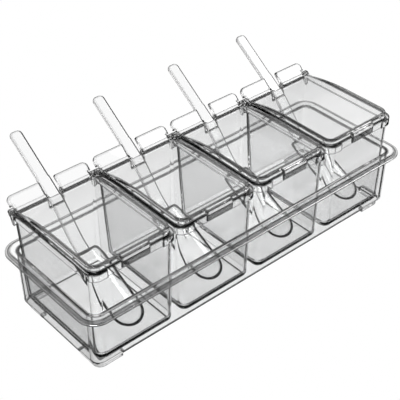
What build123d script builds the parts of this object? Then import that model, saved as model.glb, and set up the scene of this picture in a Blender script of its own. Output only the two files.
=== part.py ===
from build123d import *
import os
from math import cos, radians, sin

# Spice container set: a footed tray, four boxes, four flip lids and four spoons.
# Millimetres. The origin is under the middle of the tray, with +X along the row of boxes,
# +Y towards the hinges and +Z up. Columns are numbered 1 to 4 from the -X end.

# Row of boxes
COLUMNS = 4
BOX_GAP = 1.1

# Box, in its own column: half width in X, reach to the front and to the back in Y
BASE_HALF = 34.2
BASE_FRONT = 45.7
BASE_BACK = 46.0
MOUTH_HALF = 36.0
MOUTH_FRONT = 47.4
MOUTH_BACK = 48.5
BOX_HEIGHT = 82.0
BOX_WALL = 1.9
BOX_FLOOR = 3.0
FRONT_RADIUS = 6.5
BASE_BACK_RADIUS = 4.2
MOUTH_BACK_RADIUS = 1.4
BASE_FILLET = 3.6
INNER_BASE_RADIUS = 4.6
INNER_BACK_RADIUS = 1.0
INNER_FILLET = 3.4
STAND_WIDTH = 1.2
STAND_HEIGHT = 0.5
COLLAR_HEIGHT = 6.6
COLLAR_OUT = 1.8
COLLAR_END_HALF = 24.0
COLLAR_LINE = 0.3
COLLAR_FILLET = 0.6
SHOULDER_START = 16.0
SHOULDER_END = 46.5
SHOULDER_DROP = 2.6

# Tray
FOOT_HEIGHT = 5.0
FOOT_LEG = 22.0
FOOT_WIDTH = 5.2
FOOT_INSET = 3.2
FOOT_RADIUS = 6.2
TRAY_FLOOR = 2.0
TRAY_WALL = 2.2
TRAY_HEIGHT = 50.0
TRAY_DRAFT = 0.7
TRAY_RADIUS = 8.5
TRAY_FILLET = 2.8
END_CLEARANCE = 3.1
SIDE_CLEARANCE = 1.4
RIM_WIDTH = 7.8
RIM_PLATE = 1.9
RIM_STEP_IN = 3.4
RIM_STEP_DROP = 0.9
RIM_LIP = 2.6
RIM_LIP_WALL = 1.6
RIM_RADIUS = 14.8
RIM_TOP_FILLET = 0.8
RIM_EDGE_FILLET = 0.6
FOOT_FILLET = 0.5

# Hinge
HINGE_OUT = 1.0
HINGE_DOWN = 3.0
HINGE_GAP = 0.3
BARREL_RADIUS = 2.6
PIN_RADIUS = 1.4
PIN_CLEARANCE = 0.05
PIN_LENGTH = 2.8
PIN_END_GAP = 0.4
EAR_RADIUS = 3.4
EAR_SETBACK = 2.1
EAR_DEPTH = 9.0

# Lid
LID_GAP = 0.3
LID_RISE = 4.7
LID_SIDE_INSET = 0.6
LID_FRONT_INSET = 1.0
LID_WALL = 2.0
LID_RADIUS = 8.0
LID_CROWN_START = 0.0
LID_CROWN_END = 1.3
LID_EDGE = 1.8
SLOT_LENGTH = 5.7
TAB_LEAN = 46.0
TAB_REACH = 12.4
TAB_START = 4.1
TAB_OUT = 2.0
TAB_THICKNESS = 3.8
TAB_OUTER_RADIUS = 4.5
TAB_INNER_RADIUS = 1.2
TAB_FILLET = 1.7
FINGER_HALF = 12.3
FINGER_DROP = 4.5
FINGER_THICKNESS = 1.5
FINGER_BEVEL = 1.0
FINGER_FILLET = 0.5

# Spoon
HANDLE_ANGLE = 35.3
HANDLE_BELOW_HINGE = 2.2
HANDLE_REACH = 56.6
HANDLE_STEP = 15.7
HANDLE_HALF = 5.2
HANDLE_HALF_LOW = 5.6
HANDLE_END_RADIUS = 3.6
HANDLE_TAPER = 1.6
HANDLE_FILLET = 1.4
SLOT_CLEARANCE = 0.7
SLOT_DEPTH = 9.6
SPOON_THICKNESS = 3.4
SCOOP_ANGLE = 26.6
SCOOP_RADIUS = 13.0
SCOOP_BACK_HALF = 11.2
SCOOP_LENGTH = 53.0
SCOOP_DEPTH = 5.5
SCOOP_WALL = 1.5
SCOOP_SHOULDER_RADIUS = 3.2
SCOOP_TIP_HEIGHT = 12.0
SCOOP_TIP_GAP = 0.6
NECK_OVERLAP = 2.4

# Heights and lines that several pieces share
PITCH = 2 * (MOUTH_HALF + COLLAR_OUT) + BOX_GAP
BOX_BASE = FOOT_HEIGHT + TRAY_FLOOR
BOX_TOP = BOX_BASE + BOX_HEIGHT
TRAY_TOP = FOOT_HEIGHT + TRAY_HEIGHT
HINGE_Y = MOUTH_BACK + HINGE_OUT
HINGE_Z = BOX_TOP - HINGE_DOWN
EAR_INNER = MOUTH_HALF - EAR_SETBACK
EAR_OUTER = MOUTH_HALF + COLLAR_OUT
BARREL_END = EAR_INNER - HINGE_GAP
LID_TOP = BOX_TOP + LID_GAP + LID_RISE
LID_HALF = MOUTH_HALF - LID_SIDE_INSET
LID_FRONT = LID_FRONT_INSET - MOUTH_FRONT
SLOT_HALF = HANDLE_HALF_LOW + SLOT_CLEARANCE


def column(number):
    """X position of a box's middle plane."""
    return (number - (COLUMNS + 1) / 2) * PITCH


def side_plane(x):
    """Plane across the row at x, drawn with Y to the right and Z up."""
    return Plane(origin=(x, 0, 0), x_dir=(0, 1, 0), z_dir=(1, 0, 0))


def front_wall(height):
    """Y of a box's outer front face at a height."""
    share = (height - BOX_BASE) / BOX_HEIGHT
    return -(BASE_FRONT + share * (MOUTH_FRONT - BASE_FRONT))


def plan_outline(x, height, half, front, back, front_radius, back_radius):
    """Plan outline with its own radii at the front and back corners."""
    with BuildSketch(Plane(origin=(x, (back - front) / 2, height))) as plan:
        Rectangle(2 * half, front + back)
        fillet(plan.vertices().group_by(Axis.Y)[0], radius=front_radius)
        fillet(plan.vertices().group_by(Axis.Y)[-1], radius=back_radius)
    return plan.sketch


def box_form(x):
    """Outside of a box without its collar."""
    low = plan_outline(
        x, BOX_BASE, BASE_HALF, BASE_FRONT, BASE_BACK, FRONT_RADIUS, BASE_BACK_RADIUS
    )
    high = plan_outline(
        x, BOX_TOP, MOUTH_HALF, MOUTH_FRONT, MOUTH_BACK, FRONT_RADIUS, MOUTH_BACK_RADIUS
    )
    with BuildPart() as form:
        loft([low, high], ruled=True)
        fillet(form.edges().group_by(Axis.Z)[0], radius=BASE_FILLET)
    return form.part


def box_hollow(x):
    """Inside of a box, from the top of its floor to its mouth."""
    low = plan_outline(
        x,
        BOX_BASE + BOX_FLOOR,
        BASE_HALF - BOX_WALL,
        BASE_FRONT - BOX_WALL,
        BASE_BACK - BOX_WALL,
        INNER_BASE_RADIUS,
        INNER_BASE_RADIUS,
    )
    high = plan_outline(
        x,
        BOX_TOP,
        MOUTH_HALF - BOX_WALL,
        MOUTH_FRONT - BOX_WALL,
        MOUTH_BACK - BOX_WALL,
        FRONT_RADIUS - BOX_WALL,
        INNER_BACK_RADIUS,
    )
    with BuildPart() as hollow:
        loft([low, high], ruled=True)
        fillet(hollow.edges().group_by(Axis.Z)[0], radius=INNER_FILLET)
    return hollow.part


def collar_form(x):
    """Band round a box at its mouth, with soft edges."""
    outline = plan_outline(
        x,
        BOX_TOP - COLLAR_HEIGHT,
        MOUTH_HALF + COLLAR_OUT,
        MOUTH_FRONT + COLLAR_OUT,
        MOUTH_BACK,
        FRONT_RADIUS + COLLAR_OUT,
        MOUTH_BACK_RADIUS,
    )
    with BuildPart() as form:
        extrude(outline, amount=COLLAR_HEIGHT)
        levels = form.edges().group_by(Axis.Z)
        fillet(levels[0] + levels[-1], radius=COLLAR_FILLET)
    return form.part


def shoulder_points(gap):
    """Three points of the curve in which a box's sides fall away towards the hinge."""
    top = BOX_TOP + gap
    middle = (SHOULDER_START + SHOULDER_END) / 2
    return [
        (SHOULDER_START, top),
        (middle, top - SHOULDER_DROP / 4),
        (SHOULDER_END, top - SHOULDER_DROP),
    ]


def lid_form(x, inset):
    """Outside of a lid, or the hollow that lies inset within it and runs out below it."""
    top = LID_TOP - inset
    start, middle, end = shoulder_points(LID_GAP - inset)
    front = LID_FRONT + inset
    rear_low = end[1] - LID_WALL
    with BuildPart() as form:
        with BuildSketch(side_plane(x)):
            with BuildLine():
                Polyline(start, (front, start[1]), (front, top), (LID_CROWN_START, top))
                crown = TangentArc(
                    (LID_CROWN_START, top), (HINGE_Y, HINGE_Z + LID_CROWN_END - inset), tangent=(1, 0)
                )
                Polyline(crown @ 1, (HINGE_Y, rear_low), (end[0], rear_low), end)
                ThreePointArc(end, middle, start)
            make_face()
        extrude(amount=LID_HALF - inset, both=True)
        plan = plan_outline(
            x,
            HINGE_Z - 2 * BARREL_RADIUS,
            LID_HALF - inset,
            -front,
            HINGE_Y + BARREL_RADIUS,
            LID_RADIUS - inset,
            INNER_BACK_RADIUS,
        )
        extrude(plan, amount=LID_TOP - HINGE_Z + 4 * BARREL_RADIUS, mode=Mode.INTERSECT)
    return form.part


def rim_form(rim):
    """Rim of the tray: an outer band with a hanging lip, and the raised plate within it."""
    plate_base = TRAY_TOP - RIM_PLATE
    raised = (rim[0] - 2 * RIM_STEP_IN, rim[1] - 2 * RIM_STEP_IN)
    with BuildPart() as form:
        with BuildSketch(Plane.XY.offset(TRAY_TOP - RIM_LIP)):
            RectangleRounded(*rim, RIM_RADIUS)
        extrude(amount=RIM_LIP - RIM_STEP_DROP)
        levels = form.edges().group_by(Axis.Z)
        fillet(levels[0] + levels[-1], radius=RIM_EDGE_FILLET)
        with BuildSketch(Plane.XY.offset(plate_base)):
            RectangleRounded(*raised, RIM_RADIUS - RIM_STEP_IN)
        extrude(amount=RIM_PLATE)
        fillet(form.edges().group_by(Axis.Z)[-1], radius=RIM_TOP_FILLET)
        with BuildSketch(Plane.XY.offset(TRAY_TOP - RIM_LIP)):
            RectangleRounded(
                rim[0] - 2 * RIM_LIP_WALL, rim[1] - 2 * RIM_LIP_WALL, RIM_RADIUS - RIM_LIP_WALL
            )
        extrude(amount=RIM_LIP - RIM_PLATE, mode=Mode.SUBTRACT)
    return form.part


def make_tray():
    inner = (
        (COLUMNS - 1) / 2 * PITCH + BASE_HALF + END_CLEARANCE,
        max(BASE_FRONT, BASE_BACK) + SIDE_CLEARANCE,
    )
    base = (2 * (inner[0] + TRAY_WALL), 2 * (inner[1] + TRAY_WALL))
    mouth = (base[0] + 2 * TRAY_DRAFT, base[1] + 2 * TRAY_DRAFT)
    rim = (mouth[0] + 2 * RIM_WIDTH, mouth[1] + 2 * RIM_WIDTH)
    foot = (base[0] - 2 * FOOT_INSET, base[1] - 2 * FOOT_INSET)
    plate_base = TRAY_TOP - RIM_PLATE
    rim_band = rim_form(rim)
    with BuildPart() as tray:
        # Body, closed at first
        with BuildSketch(Plane.XY.offset(FOOT_HEIGHT)):
            RectangleRounded(*base, TRAY_RADIUS)
        with BuildSketch(Plane.XY.offset(plate_base)):
            RectangleRounded(*mouth, TRAY_RADIUS)
        loft(ruled=True)
        fillet(tray.edges().group_by(Axis.Z)[0], radius=TRAY_FILLET)
        add(rim_band)

        # Open cavity
        cavity_radius = TRAY_RADIUS - TRAY_WALL
        with BuildSketch(Plane.XY.offset(BOX_BASE)):
            RectangleRounded(2 * inner[0], 2 * inner[1], cavity_radius)
        with BuildSketch(Plane.XY.offset(TRAY_TOP)):
            RectangleRounded(
                2 * (inner[0] + TRAY_DRAFT), 2 * (inner[1] + TRAY_DRAFT), cavity_radius
            )
        loft(ruled=True, mode=Mode.SUBTRACT)

        # L-shaped corner feet
        with BuildSketch(Plane.XY):
            RectangleRounded(*foot, FOOT_RADIUS)
            RectangleRounded(
                foot[0] - 2 * FOOT_WIDTH,
                foot[1] - 2 * FOOT_WIDTH,
                FOOT_RADIUS - FOOT_WIDTH,
                mode=Mode.SUBTRACT,
            )
            Rectangle(foot[0] - 2 * FOOT_LEG, foot[1] + FOOT_WIDTH, mode=Mode.SUBTRACT)
            Rectangle(foot[0] + FOOT_WIDTH, foot[1] - 2 * FOOT_LEG, mode=Mode.SUBTRACT)
        extrude(amount=FOOT_HEIGHT + TRAY_FLOOR / 2)

        # Soft edges under the feet and round the mouth
        fillet(tray.edges().group_by(Axis.Z)[0], radius=FOOT_FILLET)
        rim_top = tray.faces().filter_by(Plane.XY).sort_by(Axis.Z)[-1]
        fillet(rim_top.inner_wires()[0].edges(), radius=RIM_TOP_FILLET)
    tray.part.label = "tray"
    export_step(tray.part, "parts/tray.step")


def make_box(number):
    x = column(number)
    form = box_form(x)
    hollow = box_hollow(x)
    collar = collar_form(x)
    stand_inset = BASE_FILLET + STAND_WIDTH
    recess = plan_outline(
        x,
        BOX_BASE,
        BASE_HALF - stand_inset,
        BASE_FRONT - stand_inset,
        BASE_BACK - stand_inset,
        FRONT_RADIUS - stand_inset,
        INNER_BACK_RADIUS,
    )
    start, middle, end = shoulder_points(0)
    clear_top = BOX_TOP + BOX_WALL
    wall_middle = MOUTH_BACK - BOX_WALL / 2
    with BuildPart() as box:
        # Body with its collar, which is nearly flush in the middle of the front
        add(form)
        add(collar)
        with BuildSketch(Plane(origin=(x, -MOUTH_FRONT - COLLAR_LINE, BOX_BASE))):
            Rectangle(2 * COLLAR_END_HALF, 2 * COLLAR_OUT, align=(Align.CENTER, Align.MAX))
        extrude(amount=BOX_HEIGHT, mode=Mode.SUBTRACT)
        add(hollow, mode=Mode.SUBTRACT)

        # Recess under the floor, so that the box stands on a narrow ring
        extrude(recess, amount=STAND_HEIGHT, mode=Mode.SUBTRACT)

        # The side walls fall away towards the hinge
        with BuildSketch(side_plane(x)):
            with BuildLine():
                ThreePointArc(start, middle, end)
                Polyline(
                    end,
                    (HINGE_Y + EAR_RADIUS, end[1]),
                    (HINGE_Y + EAR_RADIUS, clear_top),
                    (start[0], clear_top),
                    start,
                )
            make_face()
        extrude(amount=EAR_OUTER + BOX_WALL, both=True, mode=Mode.SUBTRACT)

        # Lower back wall between the ears, and the spoon slot in it
        with BuildSketch(Plane(origin=(x, wall_middle, HINGE_Z - BARREL_RADIUS - HINGE_GAP))):
            Rectangle(2 * EAR_INNER, 3 * BOX_WALL)
        extrude(amount=HINGE_DOWN + 2 * BARREL_RADIUS, mode=Mode.SUBTRACT)
        with BuildSketch(Plane(origin=(x, wall_middle, HINGE_Z - SLOT_DEPTH))):
            Rectangle(2 * SLOT_HALF, 3 * BOX_WALL)
        extrude(amount=HINGE_DOWN + SLOT_DEPTH, mode=Mode.SUBTRACT)

        # Hinge ears with blind holes for the lid's pins
        for side in (-1, 1):
            ear_plane = side_plane(x + side * EAR_INNER)
            with BuildSketch(ear_plane):
                with Locations((HINGE_Y, HINGE_Z)):
                    Circle(EAR_RADIUS)
                with BuildLine():
                    Polyline(
                        (HINGE_Y - EAR_RADIUS, HINGE_Z),
                        (HINGE_Y - EAR_RADIUS, HINGE_Z - EAR_DEPTH),
                        (MOUTH_BACK - BOX_WALL / 4, HINGE_Z - EAR_DEPTH),
                        (HINGE_Y + 0.33 * EAR_RADIUS, HINGE_Z - 0.88 * EAR_RADIUS),
                        (HINGE_Y, HINGE_Z),
                        close=True,
                    )
                make_face()
            extrude(amount=side * (EAR_OUTER - EAR_INNER))
            with BuildSketch(ear_plane):
                with Locations((HINGE_Y, HINGE_Z)):
                    Circle(PIN_RADIUS + PIN_CLEARANCE)
            extrude(amount=side * (HINGE_GAP + PIN_LENGTH), mode=Mode.SUBTRACT)
    box.part.label = f"box_{number}"
    export_step(box.part, f"parts/box_{number}.step")


def tab_form(x, side):
    """Thumb tab at one side of the slot, with soft edges, from the hinge line upwards."""
    lean = radians(TAB_LEAN)
    tab_plane = Plane(
        origin=(x, HINGE_Y, HINGE_Z), x_dir=(1, 0, 0), z_dir=(0, -cos(lean), sin(lean))
    )
    with BuildPart() as form:
        with BuildSketch(tab_plane) as tab:
            with Locations((side * (SLOT_HALF + BARREL_END) / 2, TAB_REACH / 2)):
                Rectangle(BARREL_END - SLOT_HALF, TAB_REACH)
            with Locations((side * BARREL_END, (TAB_START + TAB_REACH) / 2)):
                Rectangle(2 * TAB_OUT, TAB_REACH - TAB_START)
            tips = tab.vertices().group_by(Axis.Y)[-1].sort_by(Axis.X)
            fillet(tips[-1 if side > 0 else 0], radius=TAB_OUTER_RADIUS)
            tips = tab.vertices().group_by(Axis.Y)[-1].sort_by(Axis.X)
            fillet(tips[0 if side > 0 else -1], radius=TAB_INNER_RADIUS)
        extrude(amount=TAB_THICKNESS / 2, both=True)
        fillet(form.faces().filter_by(tab_plane).edges(), radius=TAB_FILLET)
    return form.part


def finger_form(x):
    """Finger tab that hangs in front of the box wall, joined to the lid above it."""
    root = LID_FRONT + LID_WALL / 2
    back = -MOUTH_FRONT - COLLAR_LINE - LID_GAP
    front = back - FINGER_THICKNESS
    skirt = BOX_TOP + LID_GAP
    low = BOX_TOP - FINGER_DROP
    top = LID_TOP - LID_EDGE / 6
    with BuildPart() as form:
        with BuildSketch(side_plane(x)):
            with BuildLine():
                Polyline(
                    (root, skirt),
                    (back, skirt),
                    (back, low),
                    (front, low),
                    (front, top - FINGER_BEVEL),
                    (front + FINGER_BEVEL, top),
                    (root, top),
                    close=True,
                )
            make_face()
        extrude(amount=FINGER_HALF, both=True)
        fillet(form.faces().sort_by(Axis.Y)[0].edges(), radius=FINGER_FILLET)
    return form.part


def make_lid(number):
    x = column(number)
    form = lid_form(x, 0)
    hollow = lid_form(x, LID_WALL)
    tabs = [tab_form(x, side) for side in (-1, 1)]
    finger = finger_form(x)
    ear_front = HINGE_Y - EAR_RADIUS - HINGE_GAP
    hinge_plane = Plane(origin=(x, HINGE_Y, HINGE_Z), x_dir=(0, 1, 0), z_dir=(1, 0, 0))
    with BuildPart() as lid:
        # Shell, softened along its top edge, open below and at the back
        add(form)
        crown_faces = lid.faces().filter_by(lambda face: face.normal_at().Z > 0.7)
        top_edges = crown_faces.edges().filter_by(lambda edge: edge.center().Y < ear_front)
        outline = top_edges.filter_by(
            lambda edge: abs(edge.center().X - x) > LID_WALL or edge.center().Y < LID_FRONT + LID_WALL
        )
        fillet(outline, radius=LID_EDGE)
        add(hollow, mode=Mode.SUBTRACT)

        # Behind the sides the lid narrows to run between the ears
        for side in (-1, 1):
            with BuildSketch(Plane(origin=(x + side * BARREL_END, ear_front, HINGE_Z - EAR_DEPTH))):
                Rectangle(
                    2 * EAR_SETBACK,
                    3 * EAR_RADIUS,
                    align=(Align.MIN if side > 0 else Align.MAX, Align.MIN),
                )
            extrude(amount=2 * EAR_DEPTH, mode=Mode.SUBTRACT)

        # Slot for the spoon's handle
        with BuildSketch(Plane(origin=(x, HINGE_Y - SLOT_LENGTH, HINGE_Z - EAR_DEPTH))):
            Rectangle(2 * SLOT_HALF, 3 * SLOT_LENGTH, align=(Align.CENTER, Align.MIN))
        extrude(amount=2 * EAR_DEPTH, mode=Mode.SUBTRACT)

        # Hinge barrels and pins either side of the slot, thumb tabs and finger tab
        for side in (-1, 1):
            with BuildSketch(hinge_plane.offset(side * SLOT_HALF)):
                Circle(BARREL_RADIUS)
            extrude(amount=side * (BARREL_END - SLOT_HALF))
            with BuildSketch(hinge_plane.offset(side * BARREL_END)):
                Circle(PIN_RADIUS)
            extrude(amount=side * (HINGE_GAP + PIN_LENGTH - PIN_END_GAP))
        add(tabs)
        add(finger)
    lid.part.label = f"lid_{number}"
    export_step(lid.part, f"parts/lid_{number}.step")


def scoop_form(rim_plane, inset):
    """Long dish below the scoop's rim, or the hollow that lies inset within it."""
    curve = (SCOOP_RADIUS**2 + SCOOP_DEPTH**2) / (2 * SCOOP_DEPTH)
    middle = rim_plane.offset(curve - SCOOP_DEPTH)
    lying = Plane(origin=middle.origin, x_dir=(1, 0, 0), z_dir=rim_plane.y_dir)
    with BuildPart() as rounded:
        with Locations(middle):
            Sphere(curve - inset)
        with BuildSketch(lying):
            Circle(curve - inset)
        extrude(amount=1.2 * SCOOP_LENGTH)
    side = SCOOP_RADIUS + BASE_FILLET
    with BuildPart() as form:
        with BuildSketch(rim_plane) as outline:
            with BuildLine():
                Polyline(
                    (-side + inset, -side),
                    (side - inset, -side),
                    (side - inset, SCOOP_LENGTH / 2),
                    (SCOOP_BACK_HALF - inset, SCOOP_LENGTH - inset),
                    (inset - SCOOP_BACK_HALF, SCOOP_LENGTH - inset),
                    (-side + inset, SCOOP_LENGTH / 2),
                    close=True,
                )
            make_face()
            fillet(
                outline.vertices().group_by(Axis.Y)[-1], radius=SCOOP_SHOULDER_RADIUS - inset
            )
        extrude(amount=-2 * SCOOP_DEPTH)
        add(rounded.part, mode=Mode.INTERSECT)
    return form.part


def make_spoon(number):
    x = column(number)
    angle = radians(HANDLE_ANGLE)
    slope = radians(SCOOP_ANGLE)
    along = Vector(cos(angle), sin(angle))
    scoop_along = Vector(cos(slope), sin(slope))
    up = Vector(-along.Y, along.X) * (SPOON_THICKNESS / 2)

    # The handle's line runs just below the hinge; the scoop starts behind the front wall
    exit_point = Vector(
        HINGE_Y + HANDLE_BELOW_HINGE * sin(angle), HINGE_Z - HANDLE_BELOW_HINGE * cos(angle)
    )
    handle_top = exit_point + along * HANDLE_REACH
    tip_z = BOX_BASE + BOX_FLOOR + SCOOP_TIP_HEIGHT
    tip = Vector(front_wall(tip_z) + BOX_WALL + SCOOP_TIP_GAP, tip_z)
    scoop_centre = tip + scoop_along * SCOOP_RADIUS
    neck = scoop_centre + scoop_along * (SCOOP_LENGTH - NECK_OVERLAP)
    neck_low = neck - Vector(-scoop_along.Y, scoop_along.X) * SPOON_THICKNESS
    rim_plane = Plane(
        origin=(x, scoop_centre.X, scoop_centre.Y),
        x_dir=(1, 0, 0),
        z_dir=(0, -scoop_along.Y, scoop_along.X),
    )
    grip_plane = Plane(
        origin=(x, exit_point.X, exit_point.Y), x_dir=(1, 0, 0), z_dir=(0, -along.Y, along.X)
    )
    form = scoop_form(rim_plane, 0)
    hollow = scoop_form(rim_plane, SCOOP_WALL)
    plan_low = -2 * SCOOP_LENGTH
    with BuildSketch(grip_plane) as plan:
        with BuildLine():
            Polyline(
                (-HANDLE_HALF_LOW, plan_low),
                (HANDLE_HALF_LOW, plan_low),
                (HANDLE_HALF_LOW, HANDLE_STEP - HANDLE_TAPER),
                (HANDLE_HALF, HANDLE_STEP),
                (HANDLE_HALF, HANDLE_REACH),
                (-HANDLE_HALF, HANDLE_REACH),
                (-HANDLE_HALF, HANDLE_STEP),
                (-HANDLE_HALF_LOW, HANDLE_STEP - HANDLE_TAPER),
                close=True,
            )
        make_face()
        fillet(plan.vertices().group_by(Axis.Y)[-1], radius=HANDLE_END_RADIUS)

    with BuildPart() as spoon:
        # Handle: straight outside the box, then an S-bend down to the scoop
        with BuildSketch(side_plane(x)):
            with BuildLine():
                low = Spline(exit_point - up, neck_low, tangents=[along * -1, scoop_along * -1])
                high = Spline(exit_point + up, neck, tangents=[along * -1, scoop_along * -1])
                Line(low @ 1, high @ 1)
                Polyline(high @ 0, handle_top + up, handle_top - up, low @ 0)
            make_face()
        extrude(amount=2 * HANDLE_HALF_LOW, both=True)

        # In plan it narrows above the step and its end is rounded; its edges are soft
        extrude(plan.sketch, amount=SCOOP_LENGTH, both=True, mode=Mode.INTERSECT)
        soft_edges = spoon.edges().filter_by(
            lambda edge: edge.center().Y > neck.X + NECK_OVERLAP
            and abs(edge.length - SPOON_THICKNESS) > 0.01
        )
        fillet(soft_edges, radius=HANDLE_FILLET)

        # Scoop
        add(form)
        add(hollow, mode=Mode.SUBTRACT)
    spoon.part.label = f"spoon_{number}"
    export_step(spoon.part, f"parts/spoon_{number}.step")


os.makedirs("parts", exist_ok=True)
make_tray()
for number in range(1, COLUMNS + 1):
    make_box(number)
    make_lid(number)
    make_spoon(number)
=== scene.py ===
"""Four spice boxes with lids and spoons on a tray: the CAD's shapes in clear acrylic, in a bright studio."""

from math import cos, radians, sin

import bpy
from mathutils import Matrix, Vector

# Camera at the photograph's viewing angle: places in metres, lens and sensor in millimetres
CAMERA_TARGET = Vector((0.00131, 0.01833, 0.040))
CAMERA_AZIMUTH = radians(-41.19)
CAMERA_ELEVATION = radians(36.91)
CAMERA_DISTANCE = 0.81745
CAMERA_LENS = 91.04
SENSOR_WIDTH = 36.0
TOWARDS_CAMERA = Vector(
    (
        sin(CAMERA_AZIMUTH) * cos(CAMERA_ELEVATION),
        -cos(CAMERA_AZIMUTH) * cos(CAMERA_ELEVATION),
        sin(CAMERA_ELEVATION),
    )
)

# Floor: plain and pale, and see-through for the rays that the acrylic bends or mirrors
FLOOR_HALF = 3.0
FLOOR_COLOUR = (0.93, 0.93, 0.93, 1)
FLOOR_ROUGHNESS = 0.9
FLOOR_GLOSS = 0.0

# Studio round the table: the sine of the height above the horizon, and the brightness there
STUDIO_LEVELS = (
    (-1.0, 0.95),
    (-0.97, 0.95),
    (-0.84, 0.02),
    (-0.42, 0.02),
    (-0.32, 0.90),
    (0.02, 0.85),
    (0.10, 0.15),
    (0.46, 0.15),
    (0.57, 0.8),
    (0.75, 0.7),
    (1.0, 0.3),
)
LOWEST_SINE = -1.0
HIGHEST_SINE = 1.0
WHITE = (1, 1, 1, 1)

# White panel opposite the camera, behind and below the set: the cosine of the angle from its middle where
# it ends, and where it is full
PANEL_EDGE = cos(radians(32))
PANEL_FULL = cos(radians(18))

# Soft square lamps: the side and the places in metres, the power in watts
LAMP_SIDE = 0.8
LAMPS = {
    "key": ((-0.8, -0.6, 1.5), 12),
    "fill": ((1.2, -0.7, 1.1), 5),
}

# Clear acrylic
ACRYLIC_IOR = 1.49
ACRYLIC_COLOUR = (0.992, 0.994, 0.995, 1)
ACRYLIC_ABSORBED = (0.12, 0.11, 0.11, 1)
ACRYLIC_DENSITY = 3.0

# Painted shade along the edges, a grey in the base colour for the dark lines that refraction shows there:
# how open a point has to be, seen from inside the wall, for the whole painted shade and for none
PAINTED_SHADE_FULL = 0.75
PAINTED_SHADE_NONE = 0.95
PAINTED_SHADE_SAMPLES = 4

# Wear in the polish: the noise values where it starts and where it is full, and the roughness at each
WEAR_DETAIL = 6.0
WEAR_STARTS = 0.55
WEAR_FULL = 0.8
POLISH_ROUGHNESS = 0.0
WORN_ROUGHNESS = 0.035

# Flow waves of the moulding
WAVE_DETAIL = 1.0
WAVE_STRENGTH = 1.0

# Acrylic of each kind of piece. The reach of the painted edge shade and the waves' depth are in metres. The
# reach is less than the walls of the piece, because a wall thinner than the reach is shaded all over, as the
# finger tab is
# The edge level is the grey of the painted shade along the edges, which stands in for the dark lines of
# refraction
ACRYLICS = {
    "tray": dict(painted_shade_reach=0.0014, painted_shade_level=0.15, wave_scale=18.0, wave_depth=0.0002, wear_scale=120.0),
    "box": dict(painted_shade_reach=0.0014, painted_shade_level=0.15, wave_scale=22.0, wave_depth=0.0002, wear_scale=120.0),
    "lid": dict(painted_shade_reach=0.0017, painted_shade_level=0.05, wave_scale=22.0, wave_depth=0.0002, wear_scale=140.0),
    "spoon": dict(painted_shade_reach=0.0014, painted_shade_level=0.0, wave_scale=30.0, wave_depth=0.0001, wear_scale=160.0),
}

# Bounces: enough for a look through all the walls of the set
CLEAR_BOUNCES = 40
MIRROR_BOUNCES = 12

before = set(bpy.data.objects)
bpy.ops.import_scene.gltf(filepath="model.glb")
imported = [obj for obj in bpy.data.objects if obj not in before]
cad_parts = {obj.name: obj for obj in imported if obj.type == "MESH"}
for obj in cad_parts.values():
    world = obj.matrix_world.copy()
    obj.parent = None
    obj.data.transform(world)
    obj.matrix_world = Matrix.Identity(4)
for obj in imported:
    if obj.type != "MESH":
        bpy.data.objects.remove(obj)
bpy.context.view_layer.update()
scene = bpy.context.scene


def grey(level):
    """Colour of a plain grey."""
    return (level, level, level, 1)


def node_at(tree, kind, x, y, **settings):
    """A new shader node at a place in the node editor."""
    node = tree.nodes.new(kind)
    node.location = (x, y)
    for name, value in settings.items():
        setattr(node, name, value)
    return node


def add_wear(tree, place, roughness, scale):
    """Fine wear: the polish is dull in small patches."""
    wear = node_at(tree, "ShaderNodeTexNoise", -800, 200)
    wear.inputs["Scale"].default_value = scale
    wear.inputs["Detail"].default_value = WEAR_DETAIL
    polish = node_at(tree, "ShaderNodeMapRange", -500, 200)
    polish.inputs["From Min"].default_value = WEAR_STARTS
    polish.inputs["From Max"].default_value = WEAR_FULL
    polish.inputs["To Min"].default_value = POLISH_ROUGHNESS
    polish.inputs["To Max"].default_value = WORN_ROUGHNESS
    tree.links.new(place, wear.inputs["Vector"])
    tree.links.new(wear.outputs["Fac"], polish.inputs["Value"])
    tree.links.new(polish.outputs["Result"], roughness)


def add_waves(tree, place, normal, scale, depth):
    """Faint flow waves of the moulding."""
    waves = node_at(tree, "ShaderNodeTexNoise", -800, -200)
    waves.inputs["Scale"].default_value = scale
    waves.inputs["Detail"].default_value = WAVE_DETAIL
    bump = node_at(tree, "ShaderNodeBump", -400, -200)
    bump.inputs["Strength"].default_value = WAVE_STRENGTH
    bump.inputs["Distance"].default_value = depth
    tree.links.new(place, waves.inputs["Vector"])
    tree.links.new(waves.outputs["Fac"], bump.inputs["Height"])
    tree.links.new(bump.outputs["Normal"], normal)


def add_painted_edge_shade(tree, colour, reach, level):
    """Painted shade along the edges, found by how near the inside of the piece is to its own other faces."""
    near = node_at(
        tree, "ShaderNodeAmbientOcclusion", -800, 600, inside=True, only_local=True, samples=PAINTED_SHADE_SAMPLES
    )
    near.inputs["Distance"].default_value = reach
    painted_shade_mask = node_at(tree, "ShaderNodeMapRange", -500, 600)
    painted_shade_mask.inputs["From Min"].default_value = PAINTED_SHADE_FULL
    painted_shade_mask.inputs["From Max"].default_value = PAINTED_SHADE_NONE
    # Mixes a grey into the base colour at the edges: painted shade for the dark lines of refraction
    painted_shade_mix = node_at(tree, "ShaderNodeMix", -250, 600, data_type="RGBA")
    painted_shade_mix.inputs["A"].default_value = grey(level)
    painted_shade_mix.inputs["B"].default_value = ACRYLIC_COLOUR
    tree.links.new(near.outputs["AO"], painted_shade_mask.inputs["Value"])
    tree.links.new(painted_shade_mask.outputs["Result"], painted_shade_mix.inputs["Factor"])
    tree.links.new(painted_shade_mix.outputs["Result"], colour)


def add_depth(tree):
    """Absorption, so that thick places are a little darker than thin ones."""
    depth = node_at(tree, "ShaderNodeVolumeAbsorption", 0, -500)
    depth.inputs["Color"].default_value = ACRYLIC_ABSORBED
    depth.inputs["Density"].default_value = ACRYLIC_DENSITY
    tree.links.new(depth.outputs["Volume"], tree.nodes["Material Output"].inputs["Volume"])


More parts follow.
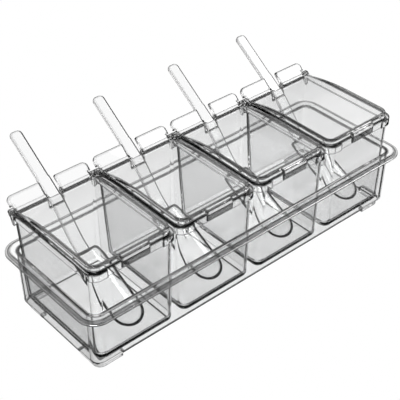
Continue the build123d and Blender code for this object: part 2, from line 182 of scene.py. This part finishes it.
def acrylic(name, painted_shade_reach, painted_shade_level, wave_scale, wave_depth, wear_scale):
    """Clear moulded acrylic: painted shade along its edges, with flow waves and fine wear in the polish."""
    material = bpy.data.materials.new(name)
    material.use_nodes = True
    tree = material.node_tree
    shader = tree.nodes["Principled BSDF"]
    shader.inputs["IOR"].default_value = ACRYLIC_IOR
    shader.inputs["Transmission Weight"].default_value = 1.0
    place = node_at(tree, "ShaderNodeTexCoord", -1100, 0).outputs["Object"]
    add_wear(tree, place, shader.inputs["Roughness"], wear_scale)
    add_waves(tree, place, shader.inputs["Normal"], wave_scale, wave_depth)
    # Base colour darkened at the edges: painted shade
    add_painted_edge_shade(tree, shader.inputs["Base Color"], painted_shade_reach, painted_shade_level)
    add_depth(tree)
    return material


def dress_pieces():
    """Gives every CAD node the acrylic of its kind, which is the first word of its name."""
    materials = {kind: acrylic(kind + "_acrylic", **look) for kind, look in ACRYLICS.items()}
    for node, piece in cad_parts.items():
        piece.data.materials.clear()
        piece.data.materials.append(materials[node.split("_")[0]])


def floor_white():
    """Matt floor that the camera sees as plain white and that bent or mirrored rays pass through."""
    material = bpy.data.materials.new("floor_white")
    material.use_nodes = True
    tree = material.node_tree
    matt = tree.nodes["Principled BSDF"]
    matt.inputs["Base Color"].default_value = FLOOR_COLOUR
    matt.inputs["Roughness"].default_value = FLOOR_ROUGHNESS
    matt.inputs["Specular IOR Level"].default_value = FLOOR_GLOSS
    path = node_at(tree, "ShaderNodeLightPath", -800, 300)
    bent = node_at(tree, "ShaderNodeMath", -500, 300, operation="MAXIMUM")
    white = node_at(tree, "ShaderNodeEmission", -250, -350)
    clear = node_at(tree, "ShaderNodeBsdfTransparent", -250, -100)
    open_floor = node_at(tree, "ShaderNodeMixShader", 50, 200)
    mix = node_at(tree, "ShaderNodeMixShader", 350, 100)
    tree.links.new(path.outputs["Is Glossy Ray"], bent.inputs[0])
    tree.links.new(path.outputs["Is Transmission Ray"], bent.inputs[1])
    tree.links.new(bent.outputs[0], open_floor.inputs[0])
    tree.links.new(matt.outputs[0], open_floor.inputs[1])
    tree.links.new(clear.outputs[0], open_floor.inputs[2])
    tree.links.new(path.outputs["Is Camera Ray"], mix.inputs[0])
    tree.links.new(open_floor.outputs[0], mix.inputs[1])
    tree.links.new(white.outputs[0], mix.inputs[2])
    tree.links.new(mix.outputs[0], tree.nodes["Material Output"].inputs["Surface"])
    return material


def make_floor():
    """Plain square floor at the height of the feet."""
    mesh = bpy.data.meshes.new("floor")
    corners = [(x * FLOOR_HALF, y * FLOOR_HALF, 0) for x, y in ((-1, -1), (1, -1), (1, 1), (-1, 1))]
    mesh.from_pydata(corners, [], [(0, 1, 2, 3)])
    floor = bpy.data.objects.new("floor", mesh)
    scene.collection.objects.link(floor)
    mesh.materials.append(floor_white())


def studio_bands(tree, direction):
    """Brightness of the studio by height. A new ramp has its first two stops already."""
    parts = node_at(tree, "ShaderNodeSeparateXYZ", -900, 0)
    height = node_at(tree, "ShaderNodeMapRange", -700, 0)
    height.inputs["From Min"].default_value = LOWEST_SINE
    height.inputs["From Max"].default_value = HIGHEST_SINE
    ramp = node_at(tree, "ShaderNodeValToRGB", -500, 0)
    stops = ramp.color_ramp.elements
    for number, (sine, level) in enumerate(STUDIO_LEVELS):
        place_on_ramp = (sine - LOWEST_SINE) / (HIGHEST_SINE - LOWEST_SINE)
        stop = stops[number] if number < 2 else stops.new(place_on_ramp)
        stop.position = place_on_ramp
        stop.color = grey(level)
    tree.links.new(direction, parts.inputs["Vector"])
    tree.links.new(parts.outputs["Z"], height.inputs["Value"])
    tree.links.new(height.outputs["Result"], ramp.inputs["Fac"])
    return ramp.outputs["Color"]


def white_panel(tree, direction):
    """Share of the white panel in a direction, with soft edges."""
    facing = node_at(tree, "ShaderNodeVectorMath", -900, -300, operation="DOT_PRODUCT")
    facing.inputs[1].default_value = -TOWARDS_CAMERA
    panel = node_at(tree, "ShaderNodeMapRange", -700, -300, interpolation_type="SMOOTHSTEP")
    panel.inputs["From Min"].default_value = PANEL_EDGE
    panel.inputs["From Max"].default_value = PANEL_FULL
    tree.links.new(direction, facing.inputs[0])
    tree.links.new(facing.outputs["Value"], panel.inputs["Value"])
    return panel.outputs["Result"]


def make_world():
    """Studio in bands of height, with a white panel opposite the camera. The camera itself sees white."""
    world = bpy.data.worlds.new("studio")
    scene.world = world
    world.use_nodes = True
    tree = world.node_tree
    direction = node_at(tree, "ShaderNodeTexCoord", -1100, 0).outputs["Generated"]
    path = node_at(tree, "ShaderNodeLightPath", -700, 300)
    white = node_at(tree, "ShaderNodeMath", -450, 300, operation="MAXIMUM")
    mix = node_at(tree, "ShaderNodeMix", -200, 100, data_type="RGBA")
    mix.inputs["B"].default_value = WHITE
    tree.links.new(path.outputs["Is Camera Ray"], white.inputs[0])
    tree.links.new(white_panel(tree, direction), white.inputs[1])
    tree.links.new(white.outputs[0], mix.inputs["Factor"])
    tree.links.new(studio_bands(tree, direction), mix.inputs["A"])
    tree.links.new(mix.outputs["Result"], tree.nodes["Background"].inputs["Color"])


def make_lamp(name, place, power):
    """Soft square lamp that points at the middle of the set."""
    light = bpy.data.lights.new(name, "AREA")
    light.shape = "SQUARE"
    light.size = LAMP_SIDE
    light.energy = power
    lamp = bpy.data.objects.new(name, light)
    scene.collection.objects.link(lamp)
    lamp.location = place
    lamp.rotation_euler = (CAMERA_TARGET - Vector(place)).to_track_quat("-Z", "Y").to_euler()


def make_camera():
    """Camera at the photograph's place, turned to the target with no roll."""
    camera = bpy.data.objects.new("camera", bpy.data.cameras.new("camera"))
    scene.collection.objects.link(camera)
    camera.location = CAMERA_TARGET + CAMERA_DISTANCE * TOWARDS_CAMERA
    camera.rotation_euler = (-TOWARDS_CAMERA).to_track_quat("-Z", "Y").to_euler()
    camera.data.lens = CAMERA_LENS
    camera.data.sensor_width = SENSOR_WIDTH
    scene.camera = camera


dress_pieces()
make_floor()
make_world()
for lamp_name, (lamp_place, lamp_power) in LAMPS.items():
    make_lamp(lamp_name, lamp_place, lamp_power)
make_camera()

scene.view_settings.view_transform = "Standard"
scene.cycles.max_bounces = CLEAR_BOUNCES
scene.cycles.transmission_bounces = CLEAR_BOUNCES
scene.cycles.glossy_bounces = MIRROR_BOUNCES
